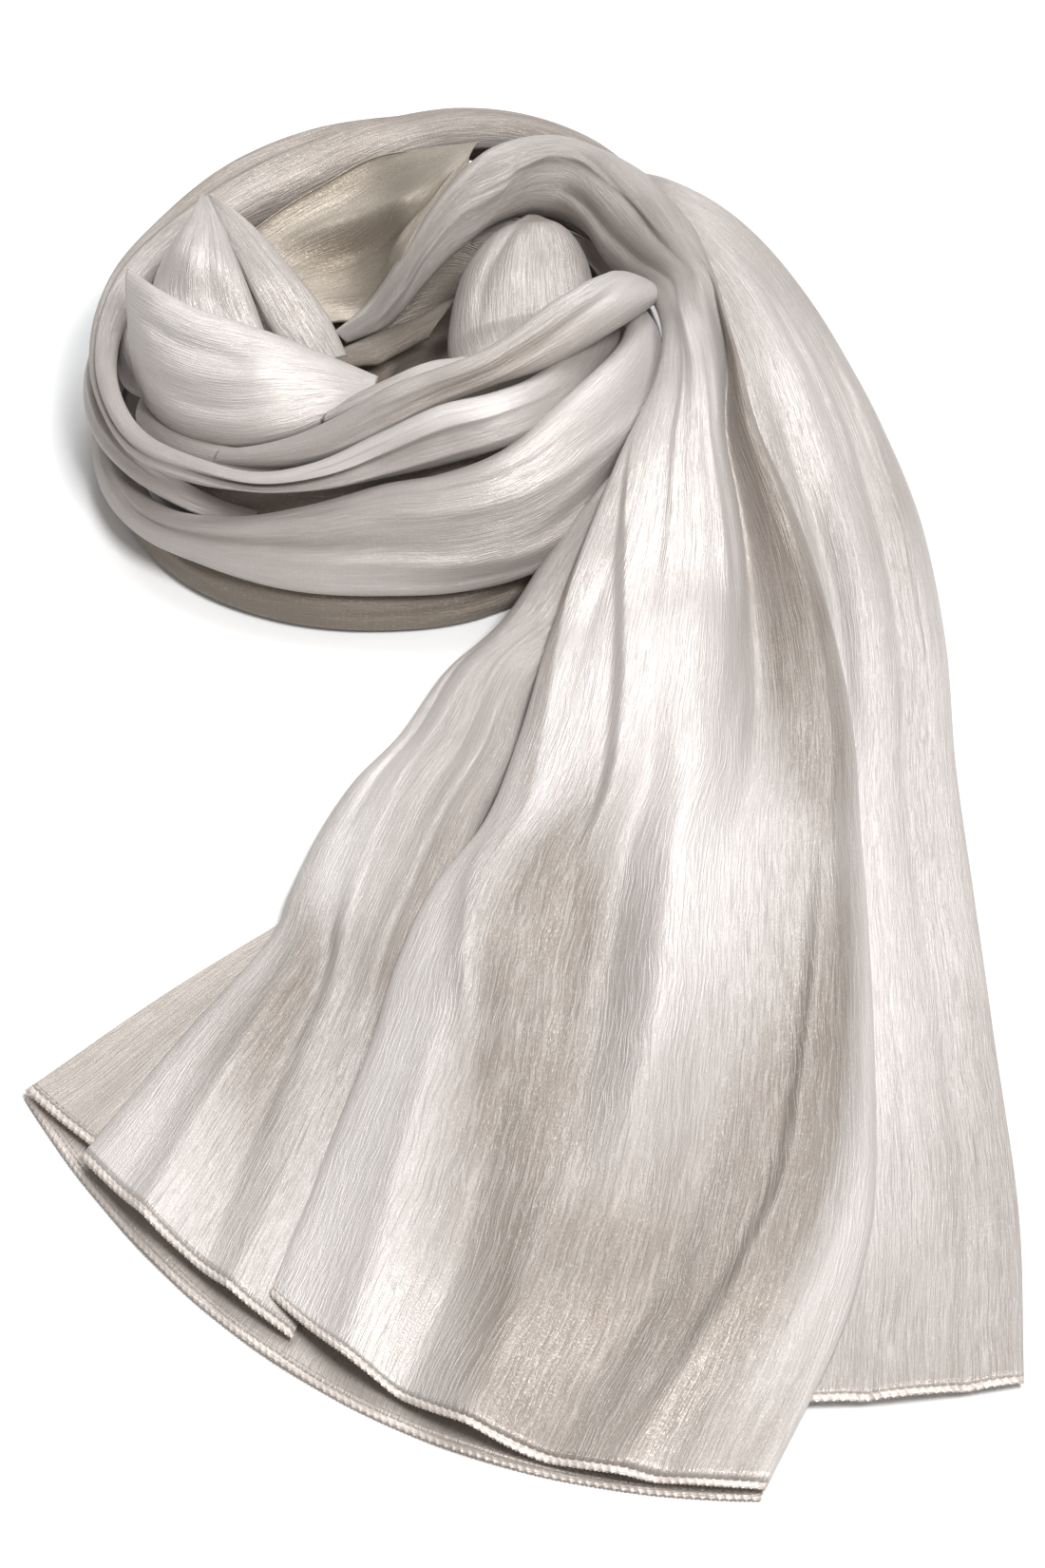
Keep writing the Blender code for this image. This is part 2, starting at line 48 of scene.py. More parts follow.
CENTRE = (-63.0, 245.0)       # middle of the nest, mm
PLACE = (4.0, -32.0)          # brings the middle of the whole to the origin, mm
SQUARENESS = 2.3              # section of a ribbon: 2 is an ellipse, more is flatter
CLOTH = 0.5                   # thickness of the shells, mm
DEEP = 8.0                    # a trough this deep, mm, is painted in full shade
FADE = 3.0                    # a fold fades in and out over a third of its run
HEM_WIDTH = 4.4               # rolled hem, mm
HEM_THICK = 1.6               # mm
LAP = 1.4                     # how far a hem laps the cloth's edge, mm
STITCH = 3.3                  # from one whip stitch of a hem to the next, mm
STAND = 0.34                  # how far a stitch stands out, share of the roll's half width
LINE_IN = 2.8                 # line of stitching, in from the cloth's edge, mm
THREAD = 0.26                 # half the stitching's thickness, mm
HEM_STEPS = 7                 # rings of a hem for each stitch
HEM_SIDES = 13                # points round a hem, the first one twice
SWELLS = ((0.35, 17.0, 0.0), (0.25, 6.3, 1.0))   # unevenness of a hem: height, spacing and start of each wave
CORE_GRID = (181, 60)         # points round the hidden layers and over them
CORE_WEAVE = 160              # width that the weave is drawn for on the hidden layers, mm
UP = np.array([0.0, 0.0, 1.0])

# ---- turns of the nest -----------------------------------------------------------------------------------
# Columns: angle (degrees round the middle), low edge's reach from the middle and height, top edge's reach and
# height, crown (how far the cloth stands out between the edges).  All in mm but the angle.
BASE_TURN = (
    (-330, 118, 1, 112, 12, 4),
    (-300, 122, 1, 116, 12, 5),
    (-268, 122, 1, 115, 12, 5),
    (-236, 120, 1, 113, 12, 5),
    (-204, 122, 1, 114, 12, 5),
    (-172, 126, 1, 118, 12, 5),
    (-150, 133, 1, 124, 16, 6),
    (-130, 135, 1, 126, 18, 6),
    (-110, 133, 1, 124, 18, 6),
    (-90, 131, 1, 122, 18, 6),
    (-70, 131, 1, 122, 18, 6),
    (-50, 126, 1, 117, 18, 6),
    (-30, 116, 1, 108, 16, 4),
)
WIDE_TURN = (
    (-192, 128, 8, 122, 20, 6),
    (-172, 133, 9, 127, 22, 6),
    (-155, 137, 10, 130, 26, 7),
    (-140, 137, 15, 130, 31, 8),
    (-126, 133, 18, 120, 38, 9),
    (-108, 131, 20, 106, 49, 9),
    (-90, 129, 21, 99, 60, 10),
    (-75, 131, 21, 103, 67, 11),
    (-60, 133, 21, 108, 75, 12),
    (-45, 132, 23, 108, 82, 13),
    (-30, 129, 25, 110, 84, 13),
    (-13, 128, 27, 114, 80, 10),
    (-4, 126, 30, 114, 78, 8),
    (4, 121, 34, 112, 72, 5),
)
OUTER_TURN = (
    (-6, 127, 20, 125, 68, 3),
    (12, 126, 16, 118, 62, 4),
    (34, 128, 14, 122, 48, 5),
    (62, 134, 14, 128, 40, 6),
    (92, 131, 14, 122, 36, 6),
    (122, 127, 14, 119, 34, 6),
    (150, 126, 14, 118, 34, 5),
    (166, 133, 22, 124, 40, 6),
    (182, 137, 31, 126, 43, 5),
    (196, 138, 34, 126, 43, 4),
    (208, 135, 36, 124, 43, 4),
    (220, 128, 35, 118, 41, 3),
    (229, 119, 30, 110, 35, 2),
    (237, 108, 25, 101, 29, 1),
)
UPPER_TURN = (
    (24, 142, 44, 133, 60, 3),
    (33, 147, 46, 135, 70, 7),
    (43, 149, 46, 134, 78, 12),
    (60, 150, 46, 133, 76, 13),
    (75, 148, 46, 125, 73, 14),
    (90, 144, 45, 114, 68, 14),
    (108, 139, 47, 101, 63, 16),
    (126, 136, 46, 100, 58, 16),
    (145, 133, 44, 106, 57, 12),
    (162, 134, 44, 114, 58, 9),
    (180, 133, 46, 121, 60, 6),
    (198, 132, 50, 126, 61, 5),
    (212, 130, 49, 125, 60, 5),
    (226, 121, 50, 115, 60, 5),
    (240, 110, 53, 107, 61, 5),
    (254, 101, 56, 97, 68, 6),
    (270, 92, 58, 86, 78, 7),
    (288, 93, 63, 82, 87, 9),
    (305, 100, 68, 87, 89, 11),
    (322, 103, 64, 90, 86, 8),
    (338, 105, 60, 90, 85, 7),
    (354, 108, 58, 93, 82, 6),
    (366, 108, 56, 96, 76, 4),
)
INNER_ROLL = (
    (-134, 106, 50, 102, 57, 4),
    (-120, 98, 56, 89, 66, 5),
    (-105, 88, 62, 77, 77, 6),
    (-88, 80, 72, 67, 88, 6),
    (-70, 76, 80, 65, 93, 6),
    (-52, 80, 85, 69, 97, 7),
    (-34, 92, 87, 72, 98, 8),
    (-20, 104, 88, 78, 99, 9),
    (-9, 116, 86, 88, 98, 9),
    (-1, 124, 80, 98, 93, 7),
    (4, 124, 74, 104, 86, 4),
)
RIM_FOLD = (
    (-110, 73, 68, 68, 70, 2),
    (-98, 66, 74, 57, 75, 3),
    (-80, 60, 80, 51, 80, 3),
    (-64, 59, 84, 50, 81, 3),
    (-50, 62, 86, 56, 82, 2),
)
SMALL_ROLL = (
    (-166, 112, 40, 108, 48, 3),
    (-156, 118, 42, 111, 53, 5),
    (-142, 113, 44, 105, 55, 5),
    (-130, 104, 48, 97, 58, 5),
    (-118, 94, 52, 89, 60, 4),
)
SIDE_ROLL = (
    (168, 114, 44, 110, 56, 4),
    (180, 120, 42, 114, 57, 5),
    (190, 118, 42, 110, 54, 5),
    (198, 106, 45, 99, 52, 3),
)
BACK_DRAPE = (
    (142, 44, 36, 96, 51, -2),
    (126, 40, 34, 96, 56, -4),
    (108, 35, 34, 98, 64, -5),
    (94, 36, 41, 104, 71, -4),
    (82, 48, 56, 107, 75, 2),
    (73, 70, 70, 109, 79, 3),
    (67, 98, 81, 110, 83, 2),
)
PIT_CLOTH = (
    (160, 20, 27, 30, 28, 2),
    (110, 12, 27, 30, 27, 3),
    (70, 18, 29, 36, 34, 3),
    (48, 30, 33, 52, 44, 3),
)
HOOD = (
    (62, 83, 45, 89, 56, -1),
    (54, 92, 47, 96, 57, -1),
    (46, 102, 49, 104, 57, -1),
    (36, 108, 49, 111, 57, -1),
    (26, 110, 48, 115, 57, -1),
    (17, 107, 45, 113, 55, -1),
    (5, 106, 45, 111, 56, -1),
    (-8, 103, 46, 108, 57, -1),
)

# ---- sheets: rows run from the nest outwards --------------------------------------------------------------
# Columns: left edge's x, y and z, right edge's x, y and z, crown, bow (how far the section curves along the
# sheet).  All in mm.
PEAK_B = (
    (-172, 208, 57, -178, 258, 85, 5, 0),
    (-163, 192, 55, -164, 245, 85, 8, 0),
    (-148, 180, 55, -146, 234, 83, 9, 0),
    (-126, 173, 57, -127, 228, 80, 10, 0),
    (-105, 174, 60, -111, 223, 77, 10, 0),
    (-86, 181, 63, -91, 217, 71, 8, 0),
    (-70, 190, 61, -65, 211, 62, 5, 0),
)
PEAK_A = (
    (-110, 226, 52, -168, 244, 64, 9, 0),
    (-117, 241, 62, -168, 260, 73, 9, 0),
    (-126, 258, 79, -161, 271, 85, 8, 0),
    (-135, 276, 91, -152, 281, 94, 5, 0),
    (-143, 290, 100, -146, 291, 100, 1, 0),
)
PEAK_STRIP = (
    (-144, 293, 98, -142, 293, 99, 0.5, 0),
    (-133, 274, 84, -124, 285, 88, 2, 0),
    (-123, 256, 72, -104, 268, 74, 4, 0),
    (-113, 243, 58, -89, 254, 60, 4, 0),
    (-100, 234, 46, -80, 242, 46, 4, 0),
)
DOME = (
    (27, 214, 38, -20, 203, 36, 2, 0),
    (36, 236, 54, -30, 220, 50, 12, 0),
    (35, 260, 52, -34, 242, 46, 16, 0),
    (33, 280, 53, -33, 264, 47, 18, 0),
    (30, 295, 55, -29, 285, 50, 16, 0),
    (25, 306, 58, -22, 300, 54, 13, 0),
    (18, 313, 61, -12, 311, 58, 9, 0),
    (9, 317, 63, 2, 318, 63, 3, 0),
)
ARCH = (
    (-82, 268, 29, -88, 273, 31, 3, 0),
    (-66, 276, 30, -72, 284, 40, 5, 0),
    (-56, 282, 36, -57, 298, 56, 7, 0),
    (-45, 290, 46, -40, 318, 73, 8, 0),
    (-33, 300, 54, -21, 336, 83, 10, 0),
    (-19, 314, 57, -2, 348, 84, 13, 0),
    (-2, 322, 59, 17, 352, 82, 16, 0),
    (16, 322, 58, 35, 346, 80, 18, 0),
    (33, 311, 55, 52, 331, 82, 20, 0),
    (44, 290, 53, 68, 306, 85, 19, 0),
    (54, 267, 60, 77, 276, 91, 15, 0),
    (60, 246, 76, 85, 249, 93, 9, 0),
)
TAIL_MAIN = (
    (60, 242, 76, 86, 245, 93, 9, 0),
    (63, 217, 79, 90, 224, 92, 9, 0),
    (58, 192, 77, 96, 201, 85, 8, 0),
    (43, 160, 66, 104, 178, 65, 8, 0),
    (31, 135, 50, 118, 154, 45, 8, 0),
    (20, 113, 33, 130, 126, 28, 8, 0),
    (10, 86, 20, 137, 95, 18, 9, 0),
    (-2, 40, 12, 142, 62, 12, 12, 0),
    (-16, -4, 10, 144, 24, 10, 13, 0),
    (-38, -42, 11, 144, -14, 9, 14, 0),
    (-52, -82, 12, 144, -62, 9, 15, 2),
    (-62, -124, 12, 143, -122, 9, 15, 4),
    (-78, -172, 9, 140, -186, 8, 13, 8),
    (-86, -198, 8, 134, -222, 8, 11, 12),
    (-92, -218, 8, 121, -262, 7.5, 8, 18),
    (-98, -237, 7.2, 92, -322, 4.6, 5, 24),
)
TAIL_RIGHT = (
    (60, 298, 76, 53, 334, 76, 4, 0),
    (72, 268, 80, 68, 321, 82, 5, 0),
    (82, 240, 80, 88, 309, 78, 8, 0),
    (90, 214, 70, 108, 293, 70, 10, 0),
    (98, 186, 54, 128, 273, 56, 11, 0),
    (106, 160, 36, 146, 249, 40, 12, 0),
    (116, 128, 18, 164, 215, 26, 11, 0),
    (122, 92, 9, 180, 166, 14, 9, 0),
    (122, 40, 5, 187, 100, 8, 8, 0),
    (116, -20, 5, 187, 30, 5, 7, 0),
    (112, -80, 4, 190, -45, 4.5, 6, 0),
    (110, -150, 4, 193, -120, 4, 6, 0),
    (106, -220, 4, 196, -200, 4, 5, 0),
    (96, -284, 4, 192, -275, 4, 3, 3),
)
TAIL_LEFT = (
    (46, 158, 64, 62, 170, 62, 3, 0),
    (31, 147, 52, 54, 154, 50, 5, 0),
    (12, 131, 34, 46, 136, 35, 7, 0),
    (-5, 112, 17, 38, 120, 19, 10, 0),
    (-20, 98, 8, 30, 102, 10, 12, 0),
    (-36, 80, 5, 8, 74, 6, 12, 0),
    (-54, 46, 5, -4, 32, 5, 12, 0),
    (-73, 20, 5, -16, -2, 5, 12, 0),
    (-87, -8, 5, -28, -40, 4, 11, 0),
    (-98, -40, 6, -42, -82, 4, 9, 0),
    (-106, -66, 6, -53, -126, 4, 8, 0),
    (-138, -114, 7, -68, -190, 5, 7, 2),
    (-175, -173, 7.5, -88, -256, 5, 3, 4),
)
TAIL_CORNER = (
    (-99, -52, 4, -86, -92, 4, 0.5, 0),
    (-148, -92, 4.5, -110, -140, 4, 0.5, 0),
    (-199, -139, 5.4, -134, -192, 4.6, 0.3, 3),
)
TAIL_UNDER = (
    (-80, -20, 1.5, 118, -60, 1.5, 0, 0),
    (-106, -58, 1.5, 116, -130, 1.5, 0, 6),
    (-163, -103, 1.5, 104, -240, 1.5, 0, 28),
    (-200, -139, 1.5, 90, -324, 1.5, 0, 50),
)


# ---- the hidden layers inside the nest -------------------------------------------------------------------
# Columns: angle (degrees), foot's reach, belly's reach and height, rim's reach and height, pit's reach and
# height.  All in mm but the angle.
CORE_RINGS = (
    (-180, 108, 112, 20, 104, 34, 50, 24),
    (-150, 112, 114, 20, 98, 38, 50, 26),
    (-120, 112, 112, 22, 84, 46, 46, 30),
    (-90, 110, 112, 26, 72, 56, 40, 28),
    (-60, 108, 110, 30, 70, 66, 34, 28),
    (-30, 104, 108, 34, 84, 54, 26, 26),
    (0, 104, 108, 32, 92, 40, 30, 26),
    (30, 104, 110, 30, 102, 38, 40, 28),
    (60, 107, 116, 30, 110, 44, 44, 26),
    (90, 107, 114, 28, 100, 46, 30, 20),
    (120, 105, 112, 26, 92, 40, 26, 20),
    (150, 105, 110, 22, 96, 36, 40, 20),
)


# ---- working out the surfaces --------------------------------------------------------------------------
def through(values, stations):
    """Catmull-Rom curve through the rows of values, read at evenly spread stations."""
    last = len(values) - 1
    padded = np.vstack([2 * values[0] - values[1], values, 2 * values[-1] - values[-2]])
    place = np.clip(stations, 0, 1) * last
    cell = np.minimum(place.astype(int), last - 1)
    t = (place - cell)[:, None]
    before, here, after, beyond = (padded[cell + step] for step in range(4))
    return 0.5 * (2 * here + (after - before) * t
                  + (2 * before - 5 * here + 4 * after - beyond) * t ** 2
                  + (3 * here - before - 3 * after + beyond) * t ** 3)


def turn_edges(rows, stations):
    """Low edge, top edge, crown and bow of a turn, from its angles and reaches."""
    read = through(np.array(rows, float), stations)
    angle = np.radians(read[:, 0])
    round_it = np.stack([np.cos(angle), np.sin(angle)], axis=1)
    low = np.column_stack([CENTRE + read[:, 1:2] * round_it, read[:, 2]])
    top = np.column_stack([CENTRE + read[:, 3:4] * round_it, read[:, 4]])
    return low, top, read[:, 5], np.zeros(len(stations))


def sheet_edges(rows, stations):
    """Left edge, right edge, crown and bow of a sheet."""
    read = through(np.array(rows, float), stations)
    return read[:, 0:3], read[:, 3:6], read[:, 6], read[:, 7]


def unit(vectors):
    """Vectors scaled to length one."""
    return vectors / np.maximum(np.linalg.norm(vectors, axis=-1, keepdims=True), 1e-9)


def eased(x):
    """Smooth step from 0 to 1."""
    x = np.clip(x, 0, 1)
    return x * x * (3 - 2 * x)


def fold_height(folds, along, across):
    """Sum of soft ridges and troughs.

    A fold runs along the cloth from its start to its end on a curve through three places across, and its height
    falls away on each side as exp(-(distance / width) ** 1.6), with a width of its own to the left and right.
    """
    total = np.zeros(np.broadcast(along, across).shape)
    for first, middle, last, start, end, height, left, right in folds:
        run = np.clip((along - start) / (end - start), 0, 1)
        path = (first * (1 - run) * (1 - 2 * run) + middle * 4 * run * (1 - run) + last * run * (2 * run - 1))
        aside = across - path
        fall = np.exp(-(np.abs(aside) / np.where(aside < 0, left, right)) ** 1.6)
        total = total + height * fall * eased(FADE * run) * eased(FADE * (1 - run))
    return total


def ribbon(edges, folds, along_count, across_count, lips):
    """Grid of points: the section is a flattened half ellipse on the two edges, its lips carried on under."""
    stations = np.linspace(0, 1, along_count)
    low, top, crown, bow = edges(stations)
    ahead = unit(np.gradient(0.5 * (low + top), axis=0))
    chord = top - low
    outward = unit(np.cross(ahead, chord))
    sweep = np.linspace(-lips[0], np.pi + lips[1], across_count)
    power = 2 / SQUARENESS
    share = 0.5 * (1 - np.sign(np.cos(sweep)) * np.abs(np.cos(sweep)) ** power)
    rise = np.sign(np.sin(sweep)) * np.abs(np.sin(sweep)) ** power
    points = low[:, None] + share[None, :, None] * chord[:, None]
    fade = np.clip(np.sin(sweep), 0, 1)
    lift = crown[:, None] * rise + fold_height(folds, stations[:, None], share[None, :]) * fade
    points = points + lift[..., None] * outward[:, None]
    return points + (bow[:, None] * 4 * share * (1 - share))[..., None] * ahead[:, None]


# ---- putting the cloth into the scene --------------------------------------------------------------------
def grid_faces(rows, across):
    """Quads between neighbouring rows of a grid."""
    row, step = np.meshgrid(np.arange(rows - 1), np.arange(across - 1), indexing="ij")
    corner = row * across + step
    return np.stack([corner, corner + across, corner + across + 1, corner + 1], axis=-1).reshape(-1, 4)


def mesh_of(name, points, faces, flat_places):
    """Mesh in metres with a cloth map: across and along the stretch, both in metres of flat cloth."""
    mesh = bpy.data.meshes.new(name)
    shift = np.array([PLACE[0], PLACE[1], 0.0])
    mesh.from_pydata((points.reshape(-1, 3) + shift) * MM, [], faces)
    layer = mesh.uv_layers.new(name="Cloth")
    layer.data.foreach_set("uv", flat_places.reshape(-1, 2)[faces.reshape(-1)].astype(np.float32).reshape(-1))
    mesh.shade_smooth()
    return mesh


def write_painted_light_and_shade(mesh, painted_light_and_shade):
    """Painted light and shade at each point: from -1, painted full shade in a fold's trough or a dark band, to
    1, painted light on a ridge or a light band.
    """
    layer = mesh.attributes.new("painted_light_and_shade", "FLOAT", "POINT")
    layer.data.foreach_set("value", np.clip(painted_light_and_shade, -1, 1).astype(np.float32).reshape(-1))


def flat_places(points, width):
    """Place of each point in the flat cloth: share of the width across, length of the middle line along."""
    middle = points[:, points.shape[1] // 2]
    step = np.linalg.norm(np.diff(middle, axis=0), axis=1)
    along = np.concatenate([[0.0], np.cumsum(step)])
    across_step = np.linalg.norm(np.diff(points, axis=1), axis=2).mean(axis=0)
    across = np.concatenate([[0.0], np.cumsum(across_step)])
    across = across / across[-1] * width
    return np.stack(np.broadcast_arrays(across[None, :] * MM, along[:, None] * MM), axis=-1)


def placed(item, material, nodes):
    """Piece in the scene, in its material, riding the body and standing for the named nodes."""
    bpy.context.scene.collection.objects.link(item)
    item.data.materials.append(material)
    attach(item, "root")
    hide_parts(*nodes)
    return item


def stretch(name, kind, rows, folds, counts, lips, width, nodes, material, hems=()):
    """One stretch of cloth: its surface, a thin shell, its material and its place in the frame."""
    edges = turn_edges if kind == "turn" else sheet_edges
    points = ribbon(lambda stations: edges(rows, stations), folds, *counts, lips)
    mesh = mesh_of(name + "_cloth", points, grid_faces(*counts), flat_places(points, width))
    along, across = np.meshgrid(np.linspace(0, 1, counts[0]), np.linspace(0, 1, counts[1]), indexing="ij")
    # painted light and shade: the folds' troughs painted darker and their ridges lighter, with the painted
    # bands added
    write_painted_light_and_shade(mesh, fold_height(PAINTED_SHADE_AND_LIGHT.get(name, ()) + folds, along, across) / DEEP)
    item = placed(bpy.data.objects.new(name + "_cloth", mesh), material, nodes)
    shell = item.modifiers.new("shell", "SOLIDIFY")
    shell.thickness = CLOTH * MM
    shell.offset = -1.0
    made = [hem(node_name, points, lips) for node_name in hems]
    return item


def hem(name, points, lips):
    """Rolled and whipped hem along the end of a sheet, with its line of stitching on the cloth.

    Round the roll by an angle a and along it by s: half the width times cos a out from the edge and half the
    thickness times sin a up, both larger by STAND at each slanting stitch, where s / STITCH + a / 4 is whole.
    """
    sweep = np.linspace(-lips[0], np.pi + lips[1], points.shape[1])
    seen = (sweep >= -0.01) & (sweep <= np.pi + 0.01)
    rim = points[-1][seen]
    inner = points[-2][seen]
    step = np.concatenate([[0.0], np.cumsum(np.linalg.norm(np.diff(rim, axis=0), axis=1))])
    along = np.arange(0.0, step[-1], STITCH / HEM_STEPS)
    rim, inner = (np.column_stack([np.interp(along, step, line[:, axis]) for axis in range(3)])
                  for line in (rim, inner))
    out = rim - inner
    out[:, 2] = 0
    out = unit(out)
    swell = sum(height * np.sin(along / spacing + start) for height, spacing, start in SWELLS)
    path = rim + (0.5 * HEM_WIDTH - LAP) * out
    path[:, 2] = np.maximum(path[:, 2] - 0.1 * HEM_THICK, 0.5 * HEM_THICK + STAND) + 0.15 * swell
    turn = np.linspace(0, 2 * np.pi, HEM_SIDES)
    phase = along[:, None] / STITCH + turn[None] / 4
    stand = 1 + STAND * (np.maximum(np.cos(2 * np.pi * phase), 0) ** 2 - 0.4)
    across = 0.5 * (HEM_WIDTH - 1.0 + 0.5 * swell)[:, None] * np.cos(turn) * stand
    up = 0.5 * (HEM_THICK - 0.5) * np.sin(turn)[None] * stand
    tube = path[:, None] + across[..., None] * out[:, None] + up[..., None] * UP
    line = rim - LINE_IN * out
    line[:, 2] = line[:, 2] + 0.15
    bead = np.clip(np.sin(2 * np.pi * along / STITCH) * 2.5, 0.15, 1)[:, None]
    thread = line[:, None] + THREAD * bead[..., None] * (np.cos(turn)[None, :, None] * out[:, None]
                                                       + 0.8 * np.sin(turn)[None, :, None] * UP)
    both = np.concatenate([tube, thread], axis=0)
    rows = len(along)
    faces = grid_faces(2 * rows, len(turn))
    faces = faces[(faces[:, 0] // len(turn)) != rows - 1]
    flat = np.stack(np.broadcast_arrays(turn[None] * 0.3 * HEM_WIDTH * MM,
                                        np.concatenate([along, along])[:, None] * MM), axis=-1)
    item = bpy.data.objects.new(name + "_roll", mesh_of(name + "_roll", both, faces[:, ::-1], flat))
    return placed(item, hem_finish, (name,))


def core_cloth(material):
    """Hidden layers of the nest.

    Rings run from the foot over belly and rim down into the pit, on a smooth curve through eight heights, and
    each ring is a smooth closed curve through the table's angles.
    """
    table = np.array(CORE_RINGS, float)
    closed = np.vstack([table, table[:1]])
    closed[-1, 0] = 180
    round_count, over_count = CORE_GRID
    read = through(closed, np.linspace(0, 1, round_count))
    angle = np.radians(read[:, 0])
    _, foot, belly, belly_z, rim, rim_z, pit, pit_z = read.T
    profile = np.stack([np.stack(pair) for pair in (
        (foot - 4, 0 * foot + 1.0), (belly - 4, belly_z),
        (0.5 * (belly + rim) - 3, 0.4 * belly_z + 0.6 * rim_z - 3),
        (rim, rim_z - 4), (0.5 * (rim + pit), 0.45 * rim_z + 0.55 * pit_z - 3), (pit, pit_z - 3),
        (0.5 * pit, pit_z - 7), (0.02 * pit, pit_z - 8))])
    rings = through(profile.reshape(len(profile), -1), np.linspace(0, 1, over_count)).reshape(over_count, 2, -1)
    wave = np.sin(9 * angle) * np.sin(np.linspace(0, 9, over_count))[:, None]
    reach = rings[:, 0] * (1 + 0.012 * wave)
    points = np.stack([CENTRE[0] + reach * np.cos(angle), CENTRE[1] + reach * np.sin(angle),
                       rings[:, 1]], axis=-1).transpose(1, 0, 2)
    mesh = mesh_of("core_cloth", points, grid_faces(*CORE_GRID), flat_places(points, CORE_WEAVE))
    item = placed(bpy.data.objects.new("core_cloth", mesh), material, ("coil_core",))


# ---- materials -----------------------------------------------------------------------------------------
def node(tree, kind, **settings):
    """New node with its settings; a setting named after an input gives that input's value."""
    made = tree.nodes.new("ShaderNode" + kind)
    for name, value in settings.items():
        words = name.replace("_", " ").title()
        if words in made.inputs:
            made.inputs[words].default_value = value
        else:
            setattr(made, name, value)
    return made


def threads(tree, cloth, across, along, detail):
    """Noise drawn out along the cloth: so many changes for each metre across and along it."""
    place = node(tree, "Mapping", scale=(across, along, 1.0))
    noise = node(tree, "TexNoise", detail=detail, roughness=0.55)
    noise.inputs["Scale"].default_value = 1.0
    tree.links.new(cloth, place.inputs["Vector"])
    tree.links.new(place.outputs["Vector"], noise.inputs["Vector"])
    return noise.outputs["Fac"]


def math(tree, operation, first, second):
    """One sum on sockets or numbers."""
    made = node(tree, "Math", operation=operation)
    for socket, value in zip(made.inputs, (first, second)):
        if isinstance(value, (int, float)):
            socket.default_value = value
        else:
            tree.links.new(value, socket)
    return made.outputs[0]


def between(tree, value, low, high, to_low=0.0, to_high=1.0):
    """Value read from low to high, given out from to_low to to_high."""
    made = node(tree, "MapRange", from_min=low, from_max=high, to_min=to_low, to_max=to_high)
    made.interpolation_type = "SMOOTHSTEP"
    tree.links.new(value, made.inputs["Value"])
    return made.outputs["Result"]


def hairline(tree, noise, width):
    """Thin lines where a noise passes its middle value."""
    apart = math(tree, "ABSOLUTE", math(tree, "SUBTRACT", noise, 0.5), 0)
    return between(tree, apart, 0.0, width, 1.0, 0.0)


def blended(tree, factor, first, second):
    """Colour from first to second by a factor."""
    made = node(tree, "Mix", data_type="RGBA")
    tree.links.new(factor, made.inputs[0])
    for socket, colour in ((made.inputs[6], first), (made.inputs[7], second)):
        if isinstance(colour, tuple):
            socket.default_value = (*colour, 1.0)
        else:
            tree.links.new(colour, socket)
    return made.outputs[2]


# Columns: changes for each metre across and along the cloth, detail of the noise.
WEAVE = {
    "crease": (150.0, 9.0, 2.0),
    "crinkle": (760.0, 34.0, 3.0),
    "fine": (1900.0, 80.0, 2.0),
    "grain": (1500.0, 1100.0, 2.0),
    "dashes": (2000.0, 420.0, 1.0),
    "spread": (60.0, 22.0, 3.0),
    "cloud": (16.0, 9.0, 2.0),
}
LONG_LINE = (300.0, 13.0, 2.0)     # columns as for the weave
SHORT_LINE = (480.0, 34.0, 1.0)
RELIEF = {"crease": 0.22, "crinkle": 0.38, "fine": 0.30, "line": 0.36, "grain": 0.42}   # share of the bump
CLOUDING = {"crinkle": 0.30, "cloud": 0.30, "grain": 0.40}                              # share of the tone
BUMP = 0.60
BUMP_HIGH = 0.0006            # height of the bump, m
WANDER = (0.007, 0.0, 0.0)    # how far the threads wander across the cloth, m


def weighted(tree, read, weights):
    """Sum of the named threads, each times its weight."""
    total = None
    for name, weight in weights.items():
        part = math(tree, "MULTIPLY", read[name], weight)
        total = part if total is None else math(tree, "ADD", total, part)
    return total


